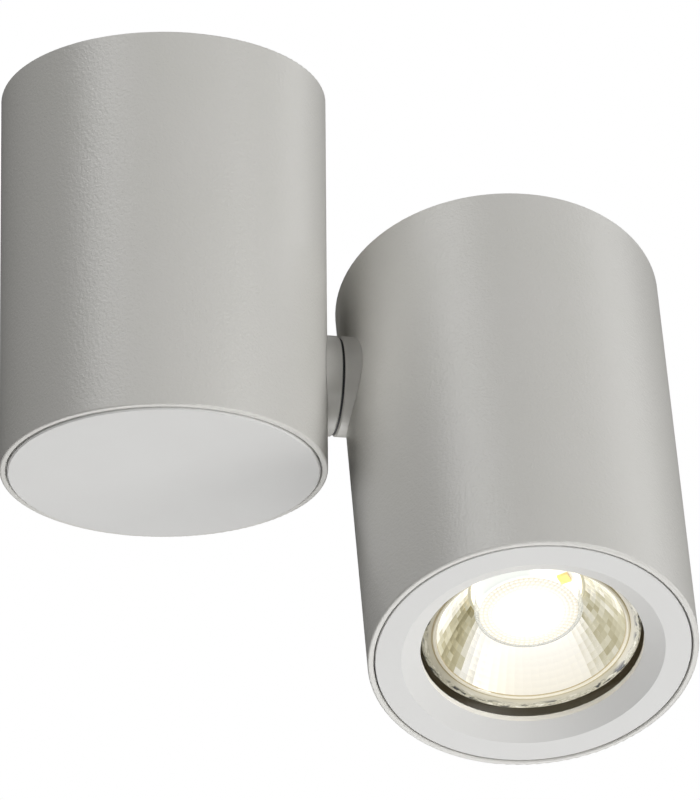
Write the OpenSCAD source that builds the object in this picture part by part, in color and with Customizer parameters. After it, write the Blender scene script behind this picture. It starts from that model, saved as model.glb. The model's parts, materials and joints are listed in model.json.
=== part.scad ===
// Adjustable ceiling spotlight: two equal round cans side by side, joined by a short disc swivel.
// The base can hangs on a ceiling plate. The head can leans on the swivel and holds a bayonet
// reflector lamp behind a flared front ring that pulls off.
// Origin: centre of the base can's ceiling face. +Z is up, +X runs from the base can to the head,
// and the front of the head leans towards -Y.

/* [Cans] */
// Outside diameter of both cans
can_d = 76; // [72:1:90]
// Wall of the cans
can_wall = 1.4; // [1.2:0.1:2.2]
// Height of the base can below the swivel axis
base_below = 24.7; // [23:0.1:50]
// Length of the head can behind the swivel axis
head_behind = 29.8; // [23:0.1:50]
// Outer round on the show end of a can
rim_round = 0.5; // [0.3:0.1:0.8]
// Round on the plain end of a can
edge_round = 0.3; // [0.2:0.1:0.5]
// Fine groove between a can and the disc or ring set into it
face_gap = 0.35; // [0.3:0.05:0.5]
// How far an end disc stands out of its can
cap_proud = 0.45; // [0:0.05:0.8]
// Thickness of the end discs
cap_t = 2.5; // [2:0.1:3.5]
// Depth of the collar behind an end disc
cap_collar = 6; // [4:0.5:8]
// Wall of the collar behind an end disc
collar_wall = 1.8; // [1.4:0.1:2.4]

/* [Swivel] */
// Swivel axis below the ceiling
pivot_drop = 70; // [66:1:100]
// Space between the two cans
can_gap = 5; // [4.5:0.25:8]
// Lean of the head at rest, in degrees from straight down
rest_tilt = 19.5; // [0:0.5:60]
// Lean to each side at the stops, in degrees
tilt_limit = 90; // [70:5:90]
// Diameter of the swivel discs
knuckle_d = 23.5; // [23:0.25:27]
// Chamfer on the swivel discs' facing edges
knuckle_edge = 0.3; // [0.2:0.05:0.4]
// Thickness of the friction washer between the discs
friction_t = 0.6; // [0.5:0.1:0.9]
// How far the friction washer's edge lies inside the discs' edge
friction_inset = 0.55; // [0.4:0.05:0.8]
// Stub on each disc that sits in the can's wall
stub_d = 15; // [14:0.5:16]
// Outside diameter of the hollow swivel tube
swivel_d = 10; // [9.5:0.1:10.2]
// Bore of the swivel tube
swivel_bore = 7.5; // [7:0.1:7.8]
// Swivel tube left standing out of each nut
swivel_spare = 1.5; // [1:0.25:2.5]
// Width across flats of the swivel nuts
nut_af = 14; // [13.5:0.25:15]
// Height of the swivel nuts
nut_h = 4; // [3:0.25:5]
// Thickness of the saddle washers at their middle
saddle_t = 3.5; // [3.2:0.1:4.5]
// Diameter of the saddle washers
saddle_d = 22; // [20:0.5:24]
// Diameter of the stop pin
pin_d = 2.5; // [2:0.1:2.6]
// Radius on which the stop pin sits
pin_circle = 8.6; // [8.4:0.1:8.8]
// Depth of the stop pin's curved slot
slot_depth = 1.6; // [1.3:0.1:1.7]
// Outside diameter of the disc spring
spring_d = 19; // [17:0.5:21]
// Thickness of the disc spring
spring_t = 0.8; // [0.6:0.1:1]
// Free rise of the disc spring's cone
spring_rise = 0.5; // [0.3:0.1:0.7]

/* [Front ring] */
// How far the front ring's face lies inside the can's end
ring_sunk = 0.1; // [0:0.05:0.6]
// Radial gap between the lamp and the ring's opening
lamp_gap = 0.45; // [0.3:0.05:1]
// Radial width of the flare
flare_w = 4.6; // [3.2:0.1:5.2]
// Depth of the flare
flare_depth = 2.7; // [2.2:0.1:3.4]
// Depth of the straight lip behind the flare
lip_depth = 1.5; // [1:0.1:2]
// Depth of the whole front ring
bezel_depth = 14; // [12:0.5:16]
// Wall of the front ring's collar
bezel_wall = 3; // [2.6:0.1:3.2]
// Thickness of the rubber ring's cord
seal_d = 1.8; // [1.5:0.1:2]

/* [Lamp] */
// Diameter of the lamp's glass rim
lamp_d = 50.5; // [50:0.1:51]
// Lamp rim behind the front face
lamp_recess = 6.15; // [5.5:0.05:10]
// Length of the lamp without its pins
lamp_body = 45.4; // [44:0.2:48]
// Height of the glass rim
rim_h = 2.6; // [2:0.1:3.2]
// How far the rim's face slopes back towards the bowl
rim_dish = 1; // [0.6:0.1:1.4]
// Height of the round bead between the rim's face and the bowl
bead_h = 0.5; // [0.3:0.05:0.6]
// Diameter of the bowl where the facets start
facet_d = 43.4; // [42:0.2:44]
// Diameter of the lens
lens_d = 25; // [23:0.2:26]
// Lens front behind the lamp's rim
lens_recess = 7.3; // [6:0.1:8.5]
// Width of the plain edge round the lens's domed face
lens_rim = 1.1; // [0.8:0.1:1.6]
// Height of the swelling of the lens's domed face
lens_crown = 0.7; // [0.4:0.1:1.2]
// Bottom of the faceted bowl behind the lamp's rim
bowl_depth = 14; // [12:0.2:15]
// Facets round the bowl
facet_count = 64; // [48:1:72]
// Rows of facets
facet_rows = 6; // [4:1:8]
// Outer light-emitting chips, in a ring round the middle one
chip_count = 3; // [3:1:6]
// Side of an outer chip
chip_side = 2.6; // [2:0.1:2.8]
// Diameter of the ring of chips
chip_ring_d = 18.8; // [18:0.2:19]
// Distance between the two lamp pins
pin_pitch = 10; // [9.8:0.1:10.4]
// Diameter of a lamp pin's head
pin_head_d = 5; // [4.8:0.1:5.2]
// Diameter of a lamp pin's neck
pin_neck_d = 3.2; // [3:0.1:3.4]
// Turn of the lamp from locked to free, in degrees
lamp_turn = 25; // [15:1:30]

/* [Lampholder] */
// Height of the lampholder
holder_h = 16; // [15:0.5:22]
// Length of the lampholder along the bracket
holder_l = 31; // [29:0.5:34]
// Width of the lampholder
holder_w = 19; // [18:0.5:21]
// Sheet of the bracket
bracket_t = 1.2; // [1:0.1:1.6]
// Width of the bracket
bracket_w = 16; // [15:0.5:18]
// Space between the swivel nut and the bracket
nut_clear = 4; // [1.5:0.1:6]
// Distance between the lampholder's screws
holder_screws_pitch = 22; // [20:0.5:24]

/* [Ceiling plate] */
// Sheet of the ceiling plate
plate_t = 1.5; // [1.2:0.1:2]
// Gap between the plate's edge and the can's bore
plate_gap = 1.2; // [0.8:0.1:1.6]
// Distance between the two slots for ceiling screws
slot_pitch = 48; // [44:1:49]
// Width of a slot
slot_w = 4.5; // [4:0.1:5.2]
// Length of a slot from end to end
slot_l = 10; // [8:0.5:10.5]
// Bore for the supply cable
cable_bore = 8.5; // [7:0.5:9.5]
// Centre of the cable hole in front of the middle
cable_y = 15; // [13:0.5:17]
// Depth of the groove inside the can that the hooks enter
groove_depth = 0.75; // [0.5:0.05:0.95]
// Top of the groove below the ceiling
groove_drop = 9; // [8:0.5:11]
// Height of the groove
groove_h = 2.4; // [2:0.1:3]
// Width of the hooks and of the rear ear
ear_w = 9; // [8:0.5:11]
// Diameter of the lock screw
lock_d = 4; // [3.5:0.1:4.5]

/* [Wiring] */
// Length of the terminal block
block_l = 29; // [28:0.5:32]
// Width of the terminal block across its poles
block_w = 15; // [14:0.5:17]
// Height of the terminal block
block_h = 12; // [11:0.5:14]
// Middle of the terminal block behind the middle of the plate
block_y = 13; // [12.5:0.5:15]
// Outside diameter of the cable that runs through the swivel
cable_d = 5.4; // [5:0.1:5.8]
// Stripped end of the cable below the ceiling
cable_top = 26; // [24:1:32]
// Diameter of one lead
lead_d = 1.9; // [1.6:0.1:2]

/* [Hidden] */
$fn = 96;

// Clearances: a close fit, the front ring's sliding fit, and free space round what moves
fit = 0.05;
slide = 0.08;
free = 0.3;
// A small overlap that makes a cut run clear through a face
over = 1;

// Cans
can_r = can_d / 2;
bore_r = can_r - can_wall;
face_r = bore_r - face_gap;
collar_r = bore_r - fit;
base_h = pivot_drop + base_below;
can_pitch = can_d + can_gap;

// Head, measured along its axis from the swivel: the parts stacked from the nut to the front face
nut_corner = nut_af / 2 / cos(30);
pin_gap = 0.1;
strap_top = nut_corner + nut_clear;
strap_under = strap_top + bracket_t;
holder_front = strap_under + holder_h;
head_front = holder_front + pin_gap + lamp_body + lamp_recess;
head_len = head_front + head_behind;

// Swivel, measured along +X
split_x = can_pitch / 2;
disc_face = split_x - friction_t / 2;
knuckle_r = knuckle_d / 2;
saddle_x = bore_r - saddle_t;
base_nut_x = saddle_x - nut_h;
head_saddle_x = can_pitch - saddle_x;
bracket_x = head_saddle_x + bracket_t;
spring_h = spring_t + spring_rise;
head_nut_x = bracket_x + spring_h;
swivel_start = base_nut_x - swivel_spare;
swivel_end = head_nut_x + nut_h + swivel_spare;
swivel_r = swivel_d / 2;
swivel_hole = swivel_r + fit;

// Stop pin and its curved slot
pin_r = pin_d / 2;
pin_root = 2.6;
pin_start = disc_face - pin_root;
pin_end = split_x + friction_t / 2 + slot_depth - free;
slot_half = pin_r + free;
tilt_min = -tilt_limit - rest_tilt;

// Lamp and front ring
lamp_r = lamp_d / 2;
opening_r = lamp_r + lamp_gap;
flare_r = opening_r + flare_w;
bezel_r = bore_r - slide;
seal_r = bore_r - fit - seal_d / 2;

// Removes the sharp corner of a 2D profile at [x, y]; the material lies towards -sx and -sy
module round_corner(x, y, r, sx, sy) {
    difference() {
        translate([x - (sx > 0 ? r : over), y - (sy > 0 ? r : over)])
            square(r + over);
        translate([x - sx * r, y - sy * r])
            circle(r);
    }
}

module ring(outer, inner, h) {
    difference() {
        cylinder(r = outer, h = h);
        translate([0, 0, -over])
            cylinder(r = inner, h = h + 2 * over);
    }
}

// Frame of the swivel axis: the children's +Z becomes +X, counted from the base can's axis
module on_swivel(x = 0) {
    translate([x, 0, -pivot_drop])
        rotate([0, 90, 0])
            children();
}

// Frame of the head: its origin is the swivel axis above the base can, +Z runs up the head
module on_head() {
    translate([0, 0, -pivot_drop])
        rotate([-rest_tilt, 0, 0])
            children();
}

// The same, on the head can's own axis, at height z above the swivel
module in_head_can(z = 0) {
    on_head()
        translate([can_pitch, 0, z])
            children();
}

// A can that stands on its show end
module can_shell(length) {
    rotate_extrude()
        difference() {
            translate([bore_r, 0])
                square([can_wall, length]);
            round_corner(can_r, 0, rim_round, 1, -1);
            round_corner(bore_r, 0, edge_round, -1, -1);
            round_corner(can_r, length, edge_round, 1, 1);
        }
}

// The disc that closes a can: its show face is at z = 0 and its collar slides into the bore
module end_disc() {
    relief_w = 3;
    face_chamfer = 0.3;
    difference() {
        rotate_extrude()
            polygon([
                [0, 0],
                [face_r - face_chamfer, 0],
                [face_r, face_chamfer],
                [face_r, cap_t],
                [collar_r, cap_t],
                [collar_r, cap_t + cap_collar],
                [collar_r - collar_wall, cap_t + cap_collar],
                [collar_r - collar_wall, cap_t],
                [0, cap_t]
            ]);
        for (i = [0:2])
            rotate([0, 0, 120 * i + 30])
                translate([bore_r / 2, -relief_w / 2, cap_t + over / 2])
                    cube([can_r, relief_w, cap_collar + over]);
    }
}

// A washer that is flat on the inside and fits the can's bore on the outside; z runs outward
module saddle_washer(hole_r) {
    intersection() {
        translate([0, 0, saddle_x])
            ring(saddle_d / 2, hole_r, saddle_t + over);
        rotate([0, -90, 0])
            translate([0, 0, -can_r])
                cylinder(r = bore_r - fit, h = can_d);
    }
}

// Half of the disc swivel, z running outward from the can's axis to the disc's face
module swivel_disc() {
    difference() {
        union() {
            difference() {
                translate([0, 0, bore_r - can_wall])
                    cylinder(r = knuckle_r, h = disc_face - bore_r + can_wall - knuckle_edge);
                rotate([0, -90, 0])
                    translate([0, 0, -can_r])
                        cylinder(r = can_r + fit, h = can_d);
            }
            translate([0, 0, disc_face - knuckle_edge])
                cylinder(r1 = knuckle_r, r2 = knuckle_r - knuckle_edge, h = knuckle_edge);
            translate([0, 0, bore_r + fit])
                cylinder(d = stub_d, h = disc_face - bore_r - fit);
        }
        translate([0, 0, bore_r - over])
            cylinder(r = swivel_hole, h = can_gap + can_wall + 2 * over);
    }
}

module swivel_nut() {
    nut_chamfer = 0.6;
    difference() {
        intersection() {
            cylinder(r = nut_corner, h = nut_h, $fn = 6);
            cylinder(r1 = nut_corner - nut_chamfer, r2 = nut_corner - nut_chamfer + nut_h, h = nut_h);
        }
        translate([0, 0, -over])
            cylinder(r = swivel_hole, h = nut_h + 2 * over);
    }
}

// A screw that points up, with a low round head whose seat is at z = 0
module pan_screw(d, head_d, head_h, length) {
    slot_w = d / 4;
    difference() {
        union() {
            translate([0, 0, -fit])
                cylinder(d = d, h = length + fit);
            translate([0, 0, -head_h])
                rotate_extrude()
                    difference() {
                        square([head_d / 2, head_h]);
                        round_corner(head_d / 2, 0, head_h / 2, 1, -1);
                    }
        }
        translate([-head_d, -slot_w / 2, -head_h - over])
            cube([2 * head_d, slot_w, over + head_h / 2]);
    }
}

// Sections below follow the real assembly, from the ceiling down and outward along the swivel

module base_tube() {
    color("gainsboro")
        difference() {
            translate([0, 0, -base_h])
                can_shell(base_h);
            on_swivel()
                cylinder(d = stub_d + 2 * fit, h = can_r + over);
            translate([0, 0, -groove_drop - groove_h])
                cylinder(r = bore_r + groove_depth, h = groove_h);
            translate([0, 0, -groove_drop])
                rotate([-90, 0, 0])
                    cylinder(d = lock_d + free, h = can_r + over);
        }
}

module base_cap() {
    color("whitesmoke")
        translate([0, 0, -base_h - cap_proud])
            end_disc();
}

plate_r = bore_r - plate_gap;
ear_inner = plate_r - 2 * plate_t;
ear_len = groove_drop + ear_w / 2;
bush_r = cable_bore / 2 + 2;
earth_x = -16;
earth_y = -11;
earth_d = 4;
earth_head_d = 7.6;
earth_head_h = 2.6;
earth_washer_t = 0.8;
lock_sunk = 0.4;

// Angle between the rear ear's line and each front hook
hook_angle = 50;

// Terminal block: three poles side by side, wires along Y, clamp screws from below
pole_count = 3;
pole_margin = 1;
pole_pitch = (block_l - 2 * pole_margin) / pole_count;
pole_wall = 1.4;
block_top = -plate_t;
block_slab = 3;
block_fix_d = 3;
block_fix_head = 4.6;
wire_hole_d = 3.6;
wire_roof = 0.4;
wire_z = block_top - block_slab - wire_roof - wire_hole_d / 2;
clamp_bore = 2.6;
clamp_screw_d = 3;
clamp_screw_y = block_w / 4;

// A bent ear that hangs from the plate's edge towards +Y
module plate_ear(length) {
    translate([-ear_w / 2, ear_inner, -length])
        cube([ear_w, plate_t, length]);
}

module ceiling_plate() {
    hook_h = groove_h - 2 * free;
    hook_reach = groove_depth - free;
    hook_z = groove_drop + groove_h - free;
    color("silver")
        difference() {
            union() {
                translate([0, 0, -plate_t])
                    cylinder(r = plate_r, h = plate_t);
                plate_ear(ear_len);
                for (side = [-1, 1])
                    rotate([0, 0, 180 + side * hook_angle]) {
                        plate_ear(hook_z);
                        intersection() {
                            translate([-ear_w / 2, ear_inner, -hook_z])
                                cube([ear_w, can_r, hook_h]);
                            translate([0, 0, -hook_z])
                                cylinder(r = bore_r + hook_reach, h = hook_h);
                        }
                    }
            }
            for (side = [-1, 1])
                translate([side * slot_pitch / 2, 0, -plate_t - over])
                    slot_hole(slot_w, slot_l, plate_t + 2 * over);
            translate([0, -cable_y, -plate_t - over])
                cylinder(r = bush_r + fit, h = plate_t + 2 * over);
            translate([0, 0, -groove_drop])
                rotate([-90, 0, 0])
                    cylinder(d = lock_d + 2 * fit, h = can_r + over);
            translate([earth_x, earth_y, -plate_t - over])
                cylinder(d = earth_d + 2 * fit, h = plate_t + 2 * over);
            for (side = [-1, 1])
                translate([side * pole_pitch / 2, block_y, -plate_t - over])
                    cylinder(d = block_fix_d + 2 * fit, h = plate_t + 2 * over);
        }
}

// A hole with round ends, long along X
module slot_hole(w, l, h) {
    for (side = [-1, 1])
        translate([side * (l - w) / 2, 0, 0])
            cylinder(d = w, h = h);
    translate([-(l - w) / 2, -w / 2, 0])
        cube([l - w, w, h]);
}

module lock_screw() {
    socket_d = lock_d / 2;
    screw_l = can_r - lock_sunk - ear_inner + over;
    color("dimgray")
        translate([0, can_r - lock_sunk - screw_l, -groove_drop])
            rotate([-90, 0, 0])
                difference() {
                    union() {
                        translate([0, 0, over])
                            cylinder(d = lock_d, h = screw_l - over);
                        cylinder(d1 = lock_d - over, d2 = lock_d, h = over);
                    }
                    translate([0, 0, screw_l - lock_d / 2])
                        cylinder(d = socket_d / cos(30), h = lock_d, $fn = 6);
                }
}

module cable_bush() {
    flange_t = 1.5;
    flange_w = 2;
    bush_l = 7;
    bush_round = 0.5;
    color("black")
        translate([0, -cable_y, 0])
            rotate_extrude()
                difference() {
                    union() {
                        translate([cable_bore / 2, -bush_l])
                            square([bush_r - cable_bore / 2, bush_l]);
                        translate([cable_bore / 2, -plate_t - flange_t])
                            square([bush_r + flange_w - cable_bore / 2, flange_t]);
                    }
                    round_corner(cable_bore / 2, -bush_l, bush_round, -1, -1);
                    round_corner(bush_r, -bush_l, bush_round, 1, -1);
                }
}

module terminal_block() {
    pole_w = pole_pitch - pole_wall;
    well_gap = 0.4;
    well_d = clamp_screw_d + 2 * well_gap;
    tower_d = well_d + pole_wall;
    color("ivory")
        difference() {
            union() {
                translate([-block_l / 2, block_y - block_w / 2 + pole_wall, block_top - block_slab])
                    cube([block_l, block_w - 2 * pole_wall, block_slab]);
                at_poles() {
                    rotate([90, 0, 0])
                        linear_extrude(block_w, center = true)
                            union() {
                                circle(d = pole_w);
                                translate([-pole_w / 2, 0])
                                    square([pole_w, block_top - wire_z]);
                            }
                    for (side = [-1, 1])
                        translate([0, side * clamp_screw_y, block_top - block_h - wire_z])
                            cylinder(d = tower_d, h = block_h - block_slab);
                }
            }
            at_poles() {
                rotate([90, 0, 0])
                    cylinder(d = wire_hole_d, h = block_w + 2 * over, center = true);
                for (side = [-1, 1])
                    translate([0, side * clamp_screw_y, -block_h])
                        cylinder(d = well_d, h = block_h);
            }
            at_block_screws() {
                translate([0, 0, -over])
                    cylinder(d = block_fix_d + 2 * fit, h = block_slab + 2 * over);
                translate([0, 0, -block_h])
                    cylinder(d = block_fix_head + free, h = block_h);
            }
        }
}

// The middle of each pole's wire hole
module at_poles() {
    for (i = [0:pole_count - 1])
        translate([(i - (pole_count - 1) / 2) * pole_pitch, block_y, wire_z])
            children();
}

module at_block_screws() {
    for (side = [-1, 1])
        translate([side * pole_pitch / 2, block_y, block_top - block_slab])
            children();
}

module terminal_clamps() {
    color("goldenrod")
        at_poles()
            difference() {
                rotate([90, 0, 0])
                    translate([0, 0, -block_w / 2 + over])
                        ring(wire_hole_d / 2 - fit, clamp_bore / 2, block_w - 2 * over);
                for (side = [-1, 1])
                    translate([0, side * clamp_screw_y, -block_h])
                        cylinder(d = clamp_screw_d + 2 * fit, h = block_h);
            }
}

module terminal_screws() {
    screw_l = 4.6;
    drive_w = 0.7;
    drive_depth = 1;
    color("silver")
        at_poles()
            for (side = [-1, 1])
                translate([0, side * clamp_screw_y, -clamp_bore / 2 - screw_l])
                    difference() {
                        cylinder(d = clamp_screw_d, h = screw_l);
                        translate([-clamp_screw_d, -drive_w / 2, -over])
                            cube([2 * clamp_screw_d, drive_w, over + drive_depth]);
                    }
}

module block_screws() {
    head_h = 2;
    color("silver")
        at_block_screws()
            pan_screw(block_fix_d, block_fix_head, head_h, block_slab + plate_t - free);
}

module earth_screw() {
    color("silver")
        translate([earth_x, earth_y, -plate_t - earth_washer_t])
            pan_screw(earth_d, earth_head_d, earth_head_h, plate_t + earth_washer_t - free);
}

// A toothed washer: its edge has cut teeth all round
module earth_washer() {
    tooth_count = 12;
    tooth_depth = 0.9;
    beyond_head = 0.7;
    washer_d = earth_head_d + 2 * beyond_head;
    color("silver")
        translate([earth_x, earth_y, -plate_t - earth_washer_t])
            difference() {
                ring(washer_d / 2, earth_d / 2 + fit, earth_washer_t);
                for (i = [0:tooth_count - 1])
                    rotate([0, 0, i * 360 / tooth_count])
                        translate([washer_d / 2 - tooth_depth, -tooth_depth / 2, -over])
                            cube([tooth_depth + over, tooth_depth, earth_washer_t + 2 * over]);
            }
}

// A thin round wire along a curve with four control points, as rings of a few sides
wire_sides = 8;
wire_rings = 14;
function bezier(p, t) =
    pow(1 - t, 3) * p[0] + 3 * t * pow(1 - t, 2) * p[1] + 3 * t * t * (1 - t) * p[2] + pow(t, 3) * p[3];
function unit(v) = v / norm(v);
function bezier_dir(p, t) =
    unit(pow(1 - t, 2) * (p[1] - p[0]) + 2 * t * (1 - t) * (p[2] - p[1]) + t * t * (p[3] - p[2]));

module bent_wire(p, d) {
    last = wire_rings - 1;
    // The side vector is kept square to X, so the rings don't twist along the wire
    points = [
        for (i = [0:last])
            let (
                t = i / last,
                along = bezier_dir(p, t),
                side = unit(cross(along, [1, 0, 0])),
                up = cross(side, along),
                middle = bezier(p, t)
            )
            for (k = [0:wire_sides - 1])
                middle + d / 2 * (cos(360 * k / wire_sides) * side + sin(360 * k / wire_sides) * up)
    ];
    walls = [
        for (i = [0:last - 1], k = [0:wire_sides - 1])
            let (n = (k + 1) % wire_sides, a = i * wire_sides, b = a + wire_sides)
            [a + k, b + k, b + n, a + n]
    ];
    first_end = [for (k = [0:wire_sides - 1]) k];
    far_end = [for (k = [wire_sides - 1:-1:0]) last * wire_sides + k];
    polyhedron(points, concat(walls, [first_end, far_end]));
}

module lead_wires() {
    lead_circle = (cable_d - lead_d) / 2 - free;
    // The side leads end in front and the middle one behind
    end_angles = [210, 90, 330];
    in_clamp = 2.5;
    mouth_y = block_y - block_w / 2;
    // How far each end of a lead pulls its curve along its own direction
    block_pull = 9;
    cable_pull = 12;
    color("peru")
        for (i = [0:pole_count - 1])
            let (
                x = (i - (pole_count - 1) / 2) * pole_pitch,
                end_x = lead_circle * cos(end_angles[i]),
                end_y = lead_circle * sin(end_angles[i])
            )
            bent_wire([
                [x, mouth_y + in_clamp, wire_z],
                [x, mouth_y - block_pull, wire_z],
                [end_x, end_y, -cable_top + cable_pull],
                [end_x, end_y, -cable_top]
            ], lead_d);
}

// The cable runs straight for this length before it enters the tube or the strap
cable_straight = 1;
base_bend = swivel_start - cable_straight;

// A quarter turn of cable in the XZ plane, from +X round to +Z about the bend's centre
module cable_bend(r) {
    rotate([90, 0, 0])
        rotate_extrude(angle = 90)
            translate([r, 0])
                circle(d = cable_d);
}

module base_cable() {
    color("white") {
        translate([0, 0, -pivot_drop + base_bend])
            cylinder(d = cable_d, h = pivot_drop - base_bend - cable_top);
        translate([base_bend, 0, -pivot_drop + base_bend])
            rotate([0, 180, 0])
                cable_bend(base_bend);
        on_swivel(base_bend)
            cylinder(d = cable_d, h = split_x - base_bend);
    }
}

module base_knuckle() {
    color("gainsboro")
        on_swivel()
            difference() {
                swivel_disc();
                translate([0, pin_circle, pin_start])
                    cylinder(r = pin_r + fit, h = disc_face);
            }
}

module friction_washer() {
    color("darkslategray")
        on_swivel(disc_face)
            difference() {
                ring(knuckle_r - friction_inset, swivel_hole + fit, friction_t);
                translate([0, pin_circle, -over])
                    cylinder(r = pin_r + fit, h = friction_t + 2 * over);
            }
}

module swivel_tube() {
    tube_chamfer = 0.5;
    color("silver")
        on_swivel(swivel_start)
            rotate_extrude()
                polygon([
                    [swivel_bore / 2, 0],
                    [swivel_r - tube_chamfer, 0],
                    [swivel_r, tube_chamfer],
                    [swivel_r, swivel_end - swivel_start - tube_chamfer],
                    [swivel_r - tube_chamfer, swivel_end - swivel_start],
                    [swivel_bore / 2, swivel_end - swivel_start]
                ]);
}

module base_saddle() {
    color("silver")
        on_swivel()
            saddle_washer(swivel_hole);
}

module base_nut() {
    color("silver")
        on_swivel(base_nut_x)
            swivel_nut();
}

module stop_pin() {
    color("dimgray")
        on_swivel()
            translate([0, pin_circle, pin_start])
                cylinder(r = pin_r, h = pin_end - pin_start);
}

// A dished washer whose rim bears on the bracket and whose middle bears on the nut
module disc_spring() {
    spring_hole = swivel_hole + fit;
    color("silver")
        on_swivel(bracket_x)
            rotate_extrude()
                polygon([
                    [spring_hole, spring_rise],
                    [spring_d / 2, 0],
                    [spring_d / 2, spring_t],
                    [spring_hole, spring_rise + spring_t]
                ]);
}

module head_nut() {
    color("silver")
        on_swivel(head_nut_x)
            swivel_nut();
}

// The head can's side of the swivel, z running from the head can's axis towards the base can
module from_head_axis() {
    in_head_can()
        mirror([1, 0, 0])
            rotate([0, 90, 0])
                children();
}

module head_tube() {
    color("gainsboro")
        difference() {
            in_head_can(-head_front)
                can_shell(head_len);
            from_head_axis()
                cylinder(d = stub_d + 2 * fit, h = can_r + over);
        }
}

module head_cap() {
    color("whitesmoke")
        in_head_can(head_behind + cap_proud)
            rotate([180, 0, 0])
                end_disc();
}

// A slot along part of a circle, from angle 0 round to -turn, with round ends a hair wider than it
module arc_slot(radius, half, turn, h) {
    rotate([0, 0, -turn])
        rotate_extrude(angle = turn)
            translate([radius - half, 0])
                square([2 * half, h]);
    for (a = [0, -turn])
        rotate([0, 0, a])
            translate([radius, 0, 0])
                cylinder(r = half + fit / 2, h = h);
}

module head_knuckle() {
    color("gainsboro")
        difference() {
            from_head_axis()
                swivel_disc();
            // The stop pin stands still, so the slot runs from the pin by the joint's range
            on_swivel(disc_face + friction_t - over)
                rotate([0, 0, 90 + tilt_min + 2 * tilt_limit])
                    arc_slot(pin_circle, slot_half, 2 * tilt_limit, slot_depth + over);
        }
}

module head_saddle() {
    color("silver")
        from_head_axis()
            saddle_washer(swivel_hole);
}

// A bent steel strap: its leg is clamped on the swivel and its foot carries the lampholder
module holder_bracket() {
    bend_r = 1;
    foot_spare = 2.5;
    lip_h = 4;
    foot_end = can_pitch + holder_l / 2 + foot_spare;
    color("silver")
        on_head()
            difference() {
                union() {
                    rotate([90, 0, 0])
                        linear_extrude(bracket_w, center = true)
                            difference() {
                                union() {
                                    translate([head_saddle_x, -strap_under])
                                        square([bracket_t, strap_under]);
                                    translate([head_saddle_x, -strap_under])
                                        square([foot_end - head_saddle_x, bracket_t]);
                                    translate([foot_end - bracket_t, -strap_under])
                                        square([bracket_t, lip_h]);
                                }
                                round_corner(head_saddle_x, -strap_under, bend_r + bracket_t, -1, -1);
                                round_corner(foot_end, -strap_under, bend_r + bracket_t, 1, -1);
                            }
                    translate([head_saddle_x, 0, 0])
                        rotate([0, 90, 0])
                            cylinder(d = bracket_w, h = bracket_t);
                }
                translate([head_saddle_x - over, 0, 0])
                    rotate([0, 90, 0])
                        cylinder(r = swivel_hole, h = bracket_t + 2 * over);
                translate([can_pitch, 0, -strap_under - over]) {
                    cylinder(d = cable_d + 2 * free, h = bracket_t + 2 * over);
                    for (side = [-1, 1])
                        translate([side * holder_screws_pitch / 2, 0, 0])
                            cylinder(d = holder_screw_d + 2 * fit, h = bracket_t + 2 * over);
                }
            }
}

holder_screw_d = 3;
holder_screw_head = 5.6;
holder_screw_in = 5;

module holder_screws() {
    head_h = 2.2;
    color("silver")
        in_head_can(-strap_top)
            for (side = [-1, 1])
                translate([side * holder_screws_pitch / 2, 0, 0])
                    rotate([180, 0, 0])
                        pan_screw(holder_screw_d, holder_screw_head, head_h, bracket_t + holder_screw_in);
}

// Bayonet: the pin heads pass the round holes, then turn behind the lip
socket_lip = 2.6;
socket_depth = 8.6;
contact_t = 0.8;
pin_neck_l = 3.2;
pin_l = 7.5;

module lampholder() {
    neck_hole_r = pin_neck_d / 2 + free;
    head_hole_r = pin_head_d / 2 + free;
    color("ivory")
        in_head_can(-holder_front)
            difference() {
                linear_extrude(holder_h)
                    intersection() {
                        square([holder_l, holder_w], center = true);
                        circle(d = holder_l);
                    }
                for (side = [0, 180])
                    rotate([0, 0, side]) {
                        translate([0, 0, -over])
                            arc_slot(pin_pitch / 2, neck_hole_r, lamp_turn, socket_lip + 2 * over);
                        translate([0, 0, socket_lip])
                            arc_slot(pin_pitch / 2, head_hole_r, lamp_turn, socket_depth - socket_lip);
                        rotate([0, 0, -lamp_turn])
                            translate([pin_pitch / 2, 0, -over])
                                cylinder(r = head_hole_r, h = socket_lip + 2 * over);
                        translate([holder_screws_pitch / 2, 0, holder_h - holder_screw_in - over])
                            cylinder(d = holder_screw_d + 2 * fit, h = holder_screw_in + 2 * over);
                    }
            }
}

module holder_contacts() {
    color("goldenrod")
        in_head_can(-holder_front + socket_depth - contact_t)
            for (side = [0, 180])
                rotate([0, 0, side])
                    arc_slot(pin_pitch / 2, pin_neck_d / 2, lamp_turn, contact_t);
}

module head_cable() {
    head_bend = strap_top - cable_straight;
    color("white") {
        on_head() {
            translate([split_x, 0, 0])
                rotate([0, 90, 0])
                    cylinder(d = cable_d, h = can_pitch - head_bend - split_x);
            translate([can_pitch - head_bend, 0, -head_bend])
                cable_bend(head_bend);
        }
        in_head_can(-strap_under)
            cylinder(d = cable_d, h = strap_under - head_bend);
    }
}

// The front ring, its show face at z = 0 and its collar running back into the can
module in_bezel() {
    in_head_can(-head_front + ring_sunk)
        children();
}

bezel_show = 3;
seal_back = 4.5;
seal_z = bezel_depth - seal_back;

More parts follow.
